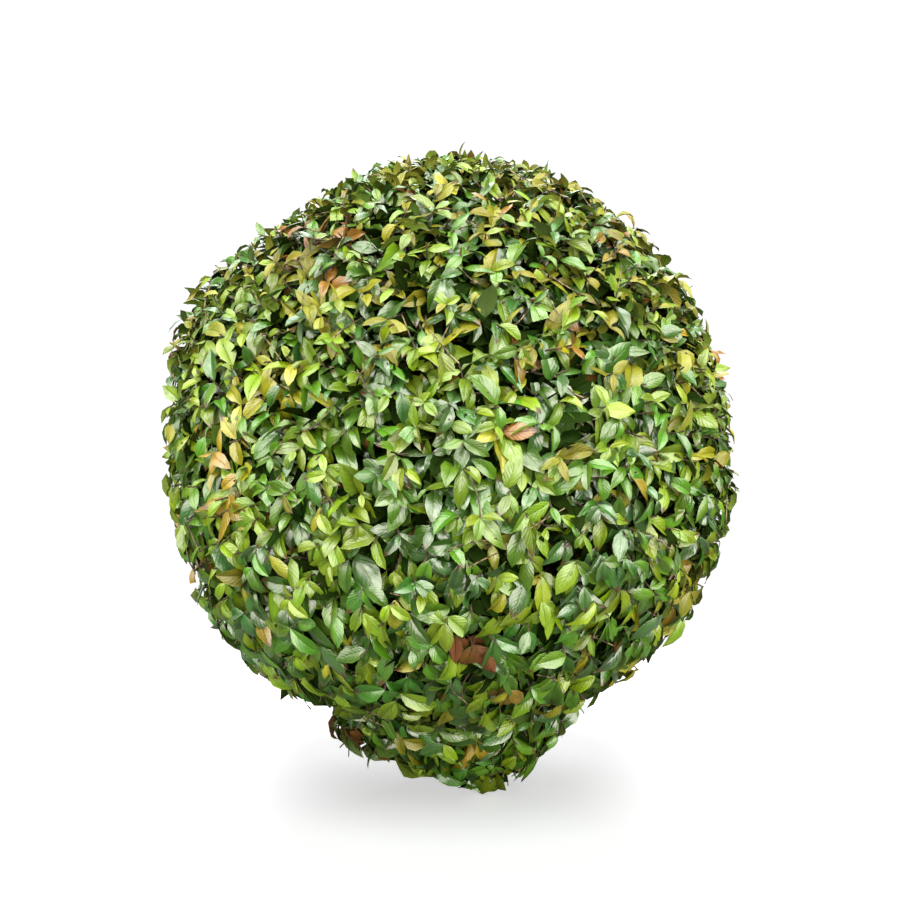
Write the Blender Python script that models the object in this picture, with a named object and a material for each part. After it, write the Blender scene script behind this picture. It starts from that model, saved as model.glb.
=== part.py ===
"""A clipped evergreen topiary ball on a short stem, rooted in level ground.

Metres, +Z up. The origin is the middle of the flat cut under the stem, at ground level.
The stem stands inside two masses of foliage: the clipped crown, and the low skirt of
growth round its foot. Each mass is a dense core that sprays stand out of. A spray is a
three-sided twig, sometimes forked, with crossed pairs of leaves, and one seeded rule
grows them all out to the clipped surface.
"""

import math
import random
from dataclasses import dataclass

import bmesh
import bpy
from mathutils import Matrix, Vector

UP = Vector((0, 0, 1))
GOLDEN_ANGLE = math.radians(137.508)
CLEARANCE = 0.0004  # the gap that neighbouring pieces keep

# The whole plant
SPLIT_HEIGHT = 0.142  # the crown hangs above this level, and the skirt stays below it
GROUND_GAP = 0.003  # the lowest leaf tips end this far above the ground
OPEN_SKY = 2.0  # the ceiling of a mass that nothing cuts from above

# The stem
STEM_HEIGHT = 0.300
STEM_RADIUS = 0.022  # just above the root flare
STEM_TIP_RADIUS = 0.015
FLARE_RADIUS = 0.012  # what the root flare adds at the ground
FLARE_FALL = 0.020  # the height over which the flare dies away
FLARE_LOBES = 5
LOBE_DEPTH = 0.20
STEM_LEAN = Vector((-0.030, 0.010, 0))  # from the foot's middle to the tip's
LEAN_GROWTH = 1.3  # 1 is a straight lean, and more bends it towards the tip
STEM_SIDES = 15
STEM_RINGS = 10
RING_BUNCHING = 1.6  # 1 spaces the rings evenly, and more draws them into the flare

# The sprays
TWIG_TAPER = 0.75
FACE_LIFT = 0.5  # how far a blade tilts its face up from straight out
LEAF_PAIRS = (0.50, 0.95)  # how far up its twig each pair of leaves stands
LEAF_LEANS = range(30, 121, 5)  # degrees off the twig, tried in turn until the blade fits
FORK_CHANCE = 0.16
FORK_ANGLE = math.radians(52)
FORK_SHARE = 0.35  # how far up its twig a fork leaves it
RIB_SHARES = (0.45, 0.85)  # the points along a blade that others keep away from
BLADE_ROOM = 0.75  # how far they keep away, in leaf widths
WANDER = 0.25  # how far a twig strays from its rule's direction
CORE_SUBDIVISIONS = 3


def direction_at(azimuth, elevation):
    """The direction at an azimuth from +X towards +Y and an elevation, in radians."""
    flat = math.cos(elevation)
    return Vector((flat * math.cos(azimuth), flat * math.sin(azimuth), math.sin(elevation)))


@dataclass(frozen=True)
class Swelling:
    """A soft rise or hollow in a clipped surface, centred on one direction."""

    azimuth: float  # degrees from +X towards +Y
    elevation: float
    spread: float  # degrees
    rise: float  # as a share of the radius

    def at(self, direction):
        """What it adds to the radius in a direction, as a share."""
        middle = direction_at(math.radians(self.azimuth), math.radians(self.elevation))
        angle = math.degrees(middle.angle(direction))
        return self.rise * math.exp(-((angle / self.spread) ** 2))


@dataclass(frozen=True)
class Leaf:
    """The size of a mass's leaves. Each is an eight-faced blade."""

    length: float
    width: float
    thickness: float
    droop: float  # how far the tip hangs below the blade's own plane


@dataclass(frozen=True)
class Mass:
    """A mass of foliage: its clipped surface, its core and the sprays between them."""

    name: str
    seed: int
    centre: Vector
    half_width: float
    half_depth: float
    rise: float  # from the centre to the top
    drop: float  # from the centre to the bottom
    squareness: float  # 2 is an ellipsoid, more is fuller at the shoulders, less is leaner
    swellings: tuple
    floor: float  # the mass is cut level here
    ceiling: float  # and here
    shell: float  # how deep the core lies under the clipped surface
    leaf: Leaf
    twig_length: float
    twig_radius: float
    sprays: int  # over the whole ball of directions, before the floor and ceiling cut it
    stray_sprays: tuple  # the azimuth and elevation of each spray that outgrows the rest
    hang: float  # how far the sprays bend down from straight out
    colour: tuple

    def clipped_radius(self, direction):
        """The distance from the centre to the clipped surface."""
        width, depth = direction.x / self.half_width, direction.y / self.half_depth
        height = direction.z / (self.rise if direction.z > 0 else self.drop)
        power = self.squareness
        radius = (math.hypot(width, depth) ** power + abs(height) ** power) ** (-1 / power)
        return radius * (1 + sum(swelling.at(direction) for swelling in self.swellings))

    def core_radius(self, direction):
        """The distance to the core's surface, before the floor and the ceiling cut it."""
        return self.clipped_radius(direction) - self.shell

    def holds(self, point, margin):
        """Whether a point lies in this mass's own space, with a margin above and below."""
        if not self.floor + margin <= point.z <= self.ceiling - margin:
            return False
        arm = point - self.centre
        return arm.length < self.clipped_radius(arm.normalized())


CROWN = Mass(
    name="crown",
    seed=11,
    centre=Vector((-0.047, 0, 0.490)),
    half_width=0.446,
    half_depth=0.436,
    rise=0.504,
    drop=0.388,
    squareness=2.08,
    swellings=(
        Swelling(azimuth=180, elevation=34, spread=14, rise=0.070),
        Swelling(azimuth=180, elevation=63, spread=16, rise=-0.030),
        Swelling(azimuth=180, elevation=-16, spread=18, rise=-0.040),
        Swelling(azimuth=0, elevation=-32, spread=26, rise=-0.045),
        Swelling(azimuth=-70, elevation=18, spread=30, rise=0.015),
        Swelling(azimuth=75, elevation=-15, spread=28, rise=0.022),
        Swelling(azimuth=130, elevation=40, spread=22, rise=-0.018),
    ),
    floor=SPLIT_HEIGHT + CLEARANCE,
    ceiling=OPEN_SKY,
    shell=0.048,
    leaf=Leaf(length=0.088, width=0.042, thickness=0.0032, droop=0.009),
    twig_length=0.042,
    twig_radius=0.0046,
    sprays=100,
    stray_sprays=(),
    hang=0.20,
    colour=(0.075, 0.155, 0.022, 1),
)

SKIRT = Mass(
    name="skirt",
    seed=23,
    centre=Vector((-0.030, 0, SPLIT_HEIGHT)),
    half_width=0.200,
    half_depth=0.180,
    rise=0.100,
    drop=0.142,
    squareness=1.5,
    swellings=(
        Swelling(azimuth=180, elevation=-20, spread=16, rise=0.30),
        Swelling(azimuth=-30, elevation=-60, spread=22, rise=0.20),
        Swelling(azimuth=100, elevation=-30, spread=25, rise=0.05),
    ),
    floor=GROUND_GAP,
    ceiling=SPLIT_HEIGHT,
    shell=0.036,
    leaf=Leaf(length=0.060, width=0.028, thickness=0.0024, droop=0.006),
    twig_length=0.028,
    twig_radius=0.0036,
    sprays=64,
    stray_sprays=((190, -20),),
    hang=0.45,
    colour=(0.050, 0.105, 0.020, 1),
)


def clear_scene():
    """Starts from an empty scene."""
    for thing in list(bpy.data.objects):
        bpy.data.objects.remove(thing)


def finish_material(name, colour, roughness):
    """A Principled material with a plain colour and no metal in it."""
    material = bpy.data.materials.new(name)
    material.use_nodes = True
    shader = material.node_tree.nodes["Principled BSDF"]
    shader.inputs["Base Color"].default_value = colour
    shader.inputs["Roughness"].default_value = roughness
    shader.inputs["Metallic"].default_value = 0
    return material


def mesh_of(name, shape):
    """Makes a mesh of a bmesh, which is freed."""
    mesh = bpy.data.meshes.new(name)
    shape.to_mesh(mesh)
    shape.free()
    return mesh


def place(name, mesh, collection=None, matrix=None):
    """Adds an object of a mesh to a collection, or to the scene's own."""
    thing = bpy.data.objects.new(name, mesh)
    thing.matrix_world = matrix or Matrix.Identity(4)
    (collection or bpy.context.scene.collection).objects.link(thing)
    return thing


def stem_middle(height):
    """The middle of the stem at a height. It leans more towards its tip."""
    return STEM_LEAN * (height / STEM_HEIGHT) ** LEAN_GROWTH + UP * height


def stem_radius(height, angle):
    """The stem's radius: an even taper, with a lobed flare at the ground."""
    flare = math.exp(-height / FLARE_FALL)
    taper = STEM_RADIUS + (STEM_TIP_RADIUS - STEM_RADIUS) * height / STEM_HEIGHT
    return taper + flare * FLARE_RADIUS * (1 + LOBE_DEPTH * math.cos(FLARE_LOBES * angle))


def stem_shape(grow=0.0, foot=0.0):
    """The stem, or with grow the space that it needs round it, from the height foot up."""
    shape = bmesh.new()
    rings = []
    for step in range(STEM_RINGS + 1):
        share = step / STEM_RINGS
        height = STEM_HEIGHT * share**RING_BUNCHING
        circle = bmesh.ops.create_circle(
            shape, segments=STEM_SIDES, radius=1, cap_ends=step in (0, STEM_RINGS)
        )["verts"]
        for corner in circle:
            angle = math.atan2(corner.co.y, corner.co.x)
            corner.co *= stem_radius(height, angle) + grow
            corner.co += stem_middle(height)
            if step == 0:
                corner.co.z = foot
            if step == STEM_RINGS:
                corner.co.z += grow
        rings.append(circle)
    for lower, upper in zip(rings, rings[1:]):
        loops = [edge for edge in shape.edges if all(v in lower for v in edge.verts)]
        loops += [edge for edge in shape.edges if all(v in upper for v in edge.verts)]
        bmesh.ops.bridge_loops(shape, edges=loops)
    bmesh.ops.recalc_face_normals(shape, faces=shape.faces)
    return shape


def near_stem(point, margin):
    """Whether a point is within margin of the stem."""
    if point.z > STEM_HEIGHT + margin:
        return False
    height = max(0.0, min(STEM_HEIGHT, point.z))
    flat = point - stem_middle(height)
    return math.hypot(flat.x, flat.y) < stem_radius(height, math.atan2(flat.y, flat.x)) + margin


def core_shape(mass):
    """The dense middle of a mass: an icosphere drawn in to the core, cut level twice."""
    shape = bmesh.new()
    bmesh.ops.create_icosphere(shape, subdivisions=CORE_SUBDIVISIONS, radius=1)
    for corner in shape.verts:
        direction = corner.co.normalized()
        corner.co = mass.centre + direction * mass.core_radius(direction)
    for level, away in ((mass.floor, -UP), (mass.ceiling, UP)):
        everything = shape.verts[:] + shape.edges[:] + shape.faces[:]
        cut = bmesh.ops.bisect_plane(
            shape, geom=everything, plane_co=UP * level, plane_no=away, clear_outer=True
        )
        rim = [edge for edge in cut["geom_cut"] if isinstance(edge, bmesh.types.BMEdge)]
        if rim:
            bmesh.ops.contextual_create(shape, geom=rim)
    bmesh.ops.recalc_face_normals(shape, faces=shape.faces)
    return shape


def leaf_shape(leaf):
    """One blade, from its foot at the origin along +X, with its face up +Z."""
    shape = bmesh.new()
    bmesh.ops.create_uvsphere(shape, u_segments=4, v_segments=2, radius=0.5)
    bmesh.ops.scale(shape, vec=(leaf.length, leaf.width, leaf.thickness), verts=shape.verts)
    bmesh.ops.translate(shape, vec=(leaf.length / 2, 0, 0), verts=shape.verts)
    tip = max(shape.verts, key=lambda corner: corner.co.x)
    tip.co.z -= leaf.droop
    return shape


def twig_shape(length, radius):
    """One three-sided twig, from its foot at the origin up +Z."""
    shape = bmesh.new()
    bmesh.ops.create_cone(
        shape,
        segments=3,
        radius1=radius,
        radius2=radius * TWIG_TAPER,
        depth=length,
        cap_ends=True,
    )
    bmesh.ops.translate(shape, vec=(0, 0, length / 2), verts=shape.verts)
    return shape


def stand(foot, along, facing):
    """The matrix that turns +X along a direction and +Z as near facing as it goes."""
    face = (facing - along * facing.dot(along)).normalized()
    columns = (along, face.cross(along), face)
    return Matrix.Translation(foot) @ Matrix(columns).transposed().to_4x4()


class Growth:
    """Grows one mass's sprays into a collection."""

    def __init__(self, mass, collection):
        self.mass = mass
        self.collection = collection
        self.chance = random.Random(mass.seed)
        self.taken = []  # points on the ribs of the blades so far
        self.leaf_mesh = mesh_of("leaf", leaf_shape(mass.leaf))
        self.twig_mesh = mesh_of("twig", twig_shape(mass.twig_length, mass.twig_radius))

    def grow(self):
        """Grows every spray: the strays first, and then the even spread over the ball."""
        for azimuth, elevation in self.mass.stray_sprays:
            self.grow_spray(direction_at(math.radians(azimuth), math.radians(elevation)))
        for number in range(self.mass.sprays):
            height = 1 - 2 * (number + 0.5) / self.mass.sprays
            self.grow_spray(direction_at(number * GOLDEN_ANGLE, math.asin(height)))

    def grow_spray(self, out):
        """One spray, from its foot sunk in the core."""
        mass = self.mass
        foot = mass.centre + out * (mass.core_radius(out) - mass.twig_radius * 2)
        self.grow_twig(foot, self.strayed(out - UP * mass.hang), out, forks=True)

    def strayed(self, direction):
        """A direction near the one given."""
        stray = Vector([self.chance.uniform(-WANDER, WANDER) for _ in range(3)])
        return (direction + stray).normalized()

    def grow_twig(self, foot, axis, out, forks):
        """One twig with its leaves, and now and then a fork of it."""
        mass = self.mass
        turn = self.chance.uniform(0, math.pi)
        across = Matrix.Rotation(turn, 3, axis) @ axis.orthogonal().normalized()
        splits = forks and self.chance.random() < FORK_CHANCE
        tip = foot + axis * mass.twig_length
        margin = mass.twig_radius
        if not mass.holds(tip, margin) or near_stem(tip, margin * 2):
            return
        matrix = Matrix.Translation(foot) @ UP.rotation_difference(axis).to_matrix().to_4x4()
        place("twig", self.twig_mesh, self.collection, matrix)
        for number, share in enumerate(LEAF_PAIRS):
            for half in (0, 1):
                side = Matrix.Rotation((number / 2 + half) * math.pi, 3, axis) @ across
                self.grow_leaf(foot + axis * mass.twig_length * share, axis, side, out)
        if splits:
            away = axis * math.cos(FORK_ANGLE) + across * math.sin(FORK_ANGLE)
            self.grow_twig(foot + axis * mass.twig_length * FORK_SHARE, away, out, forks=False)

    def grow_leaf(self, foot, axis, side, out):
        """One blade, as near its twig's own line as the clipped surface lets it."""
        for lean in LEAF_LEANS:
            angle = math.radians(lean)
            along = axis * math.cos(angle) + side * math.sin(angle)
            matrix = stand(foot, along, out + UP * FACE_LIFT)
            rib = [matrix @ Vector((self.mass.leaf.length * share, 0, 0)) for share in RIB_SHARES]
            if self.blade_fits(matrix) and self.is_clear(rib):
                place("leaf", self.leaf_mesh, self.collection, matrix)
                self.taken += rib
                return

    def is_clear(self, rib):
        """Whether a blade leaves the others their room."""
        room = self.mass.leaf.width * BLADE_ROOM
        return all((point - other).length > room for point in rib for other in self.taken)

    def blade_fits(self, matrix):
        """Whether a blade keeps to its mass's space and off the stem."""
        leaf = self.mass.leaf
        for along, across, up in ((1, 0, -leaf.droop), (0.5, 0.5, 0), (0.5, -0.5, 0)):
            point = matrix @ Vector((leaf.length * along, leaf.width * across, up))
            if not self.mass.holds(point, leaf.thickness / 2) or near_stem(point, leaf.thickness):
                return False
        return True


def apply_boolean(thing, operation, operand):
    """Joins a collection to an object, or cuts an object from it, and applies it."""
    modifier = thing.modifiers.new("joint", "BOOLEAN")
    modifier.operation = operation
    modifier.solver = "MANIFOLD"
    if isinstance(operand, bpy.types.Collection):
        modifier.operand_type = "COLLECTION"
        modifier.collection = operand
    else:
        modifier.object = operand
    bpy.context.view_layer.update()
    evaluated = thing.evaluated_get(bpy.context.evaluated_depsgraph_get())
    mesh = bpy.data.meshes.new_from_object(evaluated)
    thing.modifiers.remove(modifier)
    thing.data = mesh


def corners_joined_to(start):
    """Every corner that edges join to one corner, itself among them."""
    joined, front = {start}, [start]
    while front:
        corner = front.pop()
        for edge in corner.link_edges:
            other = edge.other_vert(corner)
            if other not in joined:
                joined.add(other)
                front.append(other)
    return joined


def keep_one_body(thing):
    """Keeps the outer skin of the largest body: scraps go, and sealed hollows are filled."""
    shape = bmesh.new()
    shape.from_mesh(thing.data)
    unseen, bodies = set(shape.verts), []
    while unseen:
        bodies.append(corners_joined_to(next(iter(unseen))))
        unseen -= bodies[-1]
    bodies.sort(key=len)
    for body in bodies[:-1]:
        bmesh.ops.delete(shape, geom=list(body), context="VERTS")
    bmesh.ops.triangulate(shape, faces=shape.faces)
    shape.to_mesh(thing.data)
    shape.free()


def build_stem():
    """The short tapering stem, from its flat cut at the ground to its tip in the crown."""
    stem = place("stem", mesh_of("stem", stem_shape()))
    stem.data.shade_smooth()
    stem.data.set_sharp_from_angle(angle=math.radians(40))
    stem.data.materials.append(finish_material("bark", (0.115, 0.078, 0.050, 1), 0.85))


def build_mass(mass):
    """One mass: its core and sprays joined in one solid, cut clear of the stem."""
    body = place(mass.name, mesh_of(mass.name, core_shape(mass)))
    sprays = bpy.data.collections.new("sprays")
    bpy.context.scene.collection.children.link(sprays)
    Growth(mass, sprays).grow()
    apply_boolean(body, "UNION", sprays)
    for thing in list(sprays.objects):
        bpy.data.objects.remove(thing)
    bpy.data.collections.remove(sprays)
    pocket = place("pocket", mesh_of("pocket", stem_shape(grow=CLEARANCE, foot=-CLEARANCE)))
    apply_boolean(body, "DIFFERENCE", pocket)
    bpy.data.objects.remove(pocket)
    keep_one_body(body)
    body.data.materials.clear()
    body.data.materials.append(finish_material(mass.name + "_leaf", mass.colour, 0.45))


def main():
    clear_scene()
    build_stem()
    build_mass(SKIRT)
    build_mass(CROWN)


main()
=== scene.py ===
"""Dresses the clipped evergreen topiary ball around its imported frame.

Metres, +Z up, with the origin in the middle of the flat cut under the stem. Limbs fork
from the stem, boughs grow from the limbs and shoots from the boughs, set out by the same
golden-angle rule as the frame's sprays. Every shoot carries crossed pairs of glossy
leaves, out to the clipped surface.
"""

import logging
import math
import random
from collections import defaultdict
from dataclasses import dataclass, field
from enum import Enum

import bmesh
import bpy
import numpy as np
from mathutils import Matrix, Vector, noise

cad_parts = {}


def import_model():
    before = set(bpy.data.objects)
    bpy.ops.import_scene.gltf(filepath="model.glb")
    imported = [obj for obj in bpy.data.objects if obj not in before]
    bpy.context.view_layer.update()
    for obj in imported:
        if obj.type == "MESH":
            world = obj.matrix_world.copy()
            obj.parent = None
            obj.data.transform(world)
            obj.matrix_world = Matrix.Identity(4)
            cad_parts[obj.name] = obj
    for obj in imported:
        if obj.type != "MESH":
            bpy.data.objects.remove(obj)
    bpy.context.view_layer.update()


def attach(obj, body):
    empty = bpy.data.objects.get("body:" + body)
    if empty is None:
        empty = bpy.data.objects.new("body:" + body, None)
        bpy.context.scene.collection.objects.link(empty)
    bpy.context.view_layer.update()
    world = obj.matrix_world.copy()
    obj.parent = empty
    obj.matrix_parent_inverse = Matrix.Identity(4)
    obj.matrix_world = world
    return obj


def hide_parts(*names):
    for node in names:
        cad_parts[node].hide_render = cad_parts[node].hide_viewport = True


LOG = logging.getLogger("topiary")
BODY = "root"
LEAF_MAP = "OFBake"  # the leaves share one layout, so one pattern serves them all
PRINTS = 4  # the leaf map holds this many prints along and across, side by side
UP = Vector((0.0, 0.0, 1.0))
GOLDEN_ANGLE = math.radians(137.508)

Colour = tuple[float, float, float, float]
Socket = bpy.types.NodeSocket
Outputs = bpy.types.NodeOutputs
Feed = Socket | float | tuple  # what an input takes: the socket that drives it, or a value


def direction_at(azimuth: float, elevation: float) -> Vector:
    """The direction at an azimuth from +X towards +Y and an elevation, in radians."""
    flat = math.cos(elevation)
    return Vector((flat * math.cos(azimuth), flat * math.sin(azimuth), math.sin(elevation)))


def golden_directions(count: int, crowding: float = 1.0) -> list[Vector]:
    """Directions over a ball, a golden angle apart from top to bottom.

    Args:
        count: how many.
        crowding: 1 for an even spread, and more to crowd them towards the top.

    Returns:
        The directions.
    """
    heights = [1 - 2 * ((number + 0.5) / count) ** crowding for number in range(count)]
    return [
        direction_at(number * GOLDEN_ANGLE, math.asin(height))
        for number, height in enumerate(heights)
    ]


def smooth_step(low: float, high: float, value: float) -> float:
    """Rises smoothly from 0 at low to 1 at high."""
    share = max(0.0, min(1.0, (value - low) / (high - low)))
    return share * share * (3 - 2 * share)


def add_object(name: str, data: bpy.types.ID) -> bpy.types.Object:
    """Makes an object that holds a mesh, curve, light or camera, and puts it in the scene.

    Args:
        name: its name.
        data: what it holds.

    Returns:
        The object, at the origin.
    """
    made = bpy.data.objects.new(name, data)
    bpy.context.scene.collection.objects.link(made)
    return made


# ---------------------------------------------------------------- the clipped surfaces


@dataclass(frozen=True)
class Spot:
    """A round place on a mass of foliage, about one direction. Angles are in degrees."""

    azimuth: float
    elevation: float
    spread: float

    def angle(self, direction: Vector) -> float:
        """The angle from its middle to a direction, in radians."""
        middle = direction_at(math.radians(self.azimuth), math.radians(self.elevation))
        return middle.angle(direction)

    def covers(self, direction: Vector) -> bool:
        """Whether a direction lies within its spread."""
        return self.angle(direction) < math.radians(self.spread)

    def strength(self, direction: Vector) -> float:
        """How strongly it is felt in a direction, from 1 at its middle softly down to 0."""
        return math.exp(-((math.degrees(self.angle(direction)) / self.spread) ** 2))


@dataclass(frozen=True)
class Swelling(Spot):
    """A soft rise or hollow in a clipped surface. rise is a share of the radius."""

    rise: float


@dataclass(frozen=True)
class ClippedSurface:
    """The surface that a mass of foliage is clipped to, as in the frame.

    rise and drop are its heights above and below its centre, squareness is 2 for an
    ellipse seen from the side and more for a squarer one, and no leaf's tip passes its
    floor or its ceiling.
    """

    centre: Vector
    half_width: float
    half_depth: float
    rise: float
    drop: float
    squareness: float
    swellings: tuple[Swelling, ...]
    floor: float
    ceiling: float

    def radius(self, direction: Vector) -> float:
        """The distance from the centre to the surface.

        Args:
            direction: the direction to measure in.

        Returns:
            The distance.
        """
        width, depth = direction.x / self.half_width, direction.y / self.half_depth
        height = direction.z / (self.rise if direction.z > 0 else self.drop)
        power = self.squareness
        radius = (math.hypot(width, depth) ** power + abs(height) ** power) ** (-1 / power)
        return radius * (1 + sum(s.rise * s.strength(direction) for s in self.swellings))

    def point(self, direction: Vector, depth: float) -> Vector:
        """The point at a depth below the surface in a direction."""
        return self.centre + direction * (self.radius(direction) - depth)

    def holds(self, point: Vector, slack: float) -> bool:
        """Whether a point lies within the surface, or at most slack outside it."""
        level, arm = self.floor <= point.z <= self.ceiling, point - self.centre
        return level and arm.length < self.radius(arm.normalized()) + slack


CROWN_SURFACE = ClippedSurface(
    centre=Vector((-0.047, 0.0, 0.490)),
    half_width=0.446,
    half_depth=0.436,
    rise=0.504,
    drop=0.388,
    squareness=2.08,
    swellings=(
        Swelling(180, 34, spread=14, rise=0.070),
        Swelling(180, 63, spread=16, rise=-0.030),
        Swelling(180, -16, spread=18, rise=-0.040),
        Swelling(0, -32, spread=26, rise=-0.045),
        Swelling(-70, 18, spread=30, rise=0.015),
        Swelling(75, -15, spread=28, rise=0.022),
        Swelling(130, 40, spread=22, rise=-0.018),
    ),
    floor=0.128,
    ceiling=2.0,
)

SKIRT_SURFACE = ClippedSurface(
    centre=Vector((-0.030, 0.0, 0.142)),
    half_width=0.200,
    half_depth=0.180,
    rise=0.100,
    drop=0.142,
    squareness=1.5,
    swellings=(
        Swelling(180, -20, spread=16, rise=0.30),
        Swelling(-30, -60, spread=22, rise=0.20),
        Swelling(100, -30, spread=25, rise=0.05),
    ),
    floor=0.003,
    ceiling=0.158,
)

# Where no shoot reaches the surface and the dark inside shows.
GAPS = (
    Spot(-101, 1, 3.1), Spot(-107, 12, 2.4), Spot(-70, 4, 2.9), Spot(-119, -3, 2.4),
    Spot(-77, 15, 2.5), Spot(-117, -19, 2.2), Spot(-74, -23, 2.4), Spot(-119, 29, 2.2),
    Spot(-66, -5, 2.4), Spot(-85, 29, 2.0), Spot(-97, 38, 2.2), Spot(10, 10, 2.7),
    Spot(70, -5, 2.9), Spot(120, 22, 2.5), Spot(165, 0, 2.7),
)


# ---------------------------------------------------------------- tints and barks


class Tint(Enum):
    """The kinds of leaf, from the youngest to the dead, and last a near-black one that paints the
    shade inside the mass.
    """

    COPPER = "copper"
    AMBER = "amber"
    GOLD = "gold"
    LIME = "lime"
    FRESH = "fresh"
    GREEN = "green"
    DEEP = "deep"
    TEAL = "teal"
    OLIVE = "olive"
    DRY = "dry"
    SHADE = "shade"


class Wood(Enum):
    """The kinds of bark, from the stem out to the ends of bare twigs."""

    STEM = "stem"
    LIMBS = "limbs"
    BOUGHS = "boughs"
    SHOOTS = "shoots"
    BARE_TWIGS = "bare_twigs"


@dataclass(frozen=True)
class LeafFinish:
    """The finish of one kind of leaf.

    blade is its plain colour and roughness is the blade's, coat is the weight of the
    wax layer on it, gloss is how strongly it mirrors, and pallor is how much paler its
    rib, its underside and its painted sheen patches are.
    """

    PALE = (0.20, 0.25, 0.04, 1.0)
    UNDERSIDE_SHARE = 0.75  # of the rib's pallor
    # The painted sheen's colour: the blade's, brightened and lifted towards white.
    BLOOM_GAIN = 1.5
    BLOOM_LIFT = 0.082

    blade: Colour
    roughness: float = 0.28
    coat: float = 0.42
    gloss: float = 0.55
    pallor: float = 0.30

    def paler(self, share: float) -> Colour:
        """The blade's colour mixed towards a pale yellow green."""
        return tuple(a + (b - a) * share for a, b in zip(self.blade, self.PALE))

    @property
    def rib(self) -> Colour:
        """The colour of its rib and its side veins, and of the painted glow at its rim."""
        return self.paler(self.pallor)

    @property
    def underside(self) -> Colour:
        """The colour of its underside."""
        return self.paler(self.pallor * self.UNDERSIDE_SHARE)

    @property
    def bloom(self) -> Colour:
        """The colour of its painted sheen: pale patches that stand in for the light its wax
        mirrors.
        """
        lift = self.pallor * self.BLOOM_LIFT
        return tuple(min(1.0, self.BLOOM_GAIN * part + lift) for part in self.blade[:3]) + (1.0,)


@dataclass(frozen=True)
class BarkFinish:
    """The finish of one kind of bark: its ridges, its weathered patches and its fineness."""

    ridges: Colour
    weathering: Colour
    scale: float


LEAF_FINISHES: dict[Tint, LeafFinish] = {
    Tint.COPPER: LeafFinish((0.122, 0.058, 0.004, 1.0), coat=0.3, pallor=0.14),
    Tint.AMBER: LeafFinish((0.138, 0.096, 0.003, 1.0), pallor=0.25),
    Tint.GOLD: LeafFinish((0.140, 0.138, 0.002, 1.0), coat=0.25, pallor=0.22),
    Tint.LIME: LeafFinish((0.094, 0.146, 0.001, 1.0), coat=0.26, pallor=0.24),
    Tint.FRESH: LeafFinish((0.066, 0.115, 0.001, 1.0), coat=0.32, pallor=0.26),
    Tint.GREEN: LeafFinish((0.036, 0.098, 0.001, 1.0), coat=0.50, pallor=0.18),
    Tint.DEEP: LeafFinish((0.018, 0.064, 0.002, 1.0), coat=0.70, pallor=0.18),
    Tint.TEAL: LeafFinish((0.016, 0.054, 0.007, 1.0), coat=0.9, pallor=0.26),
    Tint.OLIVE: LeafFinish((0.104, 0.104, 0.002, 1.0), roughness=0.36, coat=0.15, gloss=0.35),
    Tint.DRY: LeafFinish(
        (0.070, 0.027, 0.003, 1.0), roughness=0.60, coat=0.0, gloss=0.3, pallor=0.04
    ),
    # Painted shade: a near-black blade for the leaves deep inside, so that the gaps show dark.
    Tint.SHADE: LeafFinish(
        (0.006, 0.014, 0.002, 1.0), roughness=0.80, coat=0.0, gloss=0.0, pallor=0.02
    ),
}

BARK_FINISHES: dict[Wood, BarkFinish] = {
    Wood.STEM: BarkFinish((0.135, 0.098, 0.066, 1.0), (0.27, 0.25, 0.20, 1.0), 75.0),
    Wood.LIMBS: BarkFinish((0.115, 0.075, 0.042, 1.0), (0.20, 0.18, 0.13, 1.0), 130.0),
    Wood.BOUGHS: BarkFinish((0.045, 0.030, 0.018, 1.0), (0.09, 0.08, 0.055, 1.0), 160.0),
    Wood.SHOOTS: BarkFinish((0.060, 0.034, 0.014, 1.0), (0.07, 0.07, 0.028, 1.0), 260.0),
    Wood.BARE_TWIGS: BarkFinish((0.150, 0.105, 0.052, 1.0), (0.20, 0.17, 0.11, 1.0), 90.0),
}


def followers(*chains: tuple[Tint, ...]) -> dict[Tint, Tint]:
    """What follows each tint in the chains it stands in."""
    return {first: second for chain in chains for first, second in zip(chain, chain[1:])}


# What an older or a younger leaf of a shoot wears in place of the shoot's own tint.
OLDER = followers(
    (Tint.COPPER, Tint.GOLD, Tint.LIME, Tint.FRESH, Tint.GREEN, Tint.DEEP, Tint.TEAL, Tint.DEEP),
    (Tint.AMBER, Tint.LIME),
    (Tint.OLIVE, Tint.DEEP),
)
YOUNGER = followers(
    (Tint.DEEP, Tint.GREEN, Tint.FRESH, Tint.LIME, Tint.GOLD, Tint.AMBER),
    (Tint.TEAL, Tint.GREEN),
    (Tint.OLIVE, Tint.LIME),
)


@dataclass(frozen=True)
class TintPatch(Spot):
    """A stretch of a mass where shoots of one tint stand together.

    share is how many of the shoots at its middle wear the tint.
    """

    tint: Tint
    share: float


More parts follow.
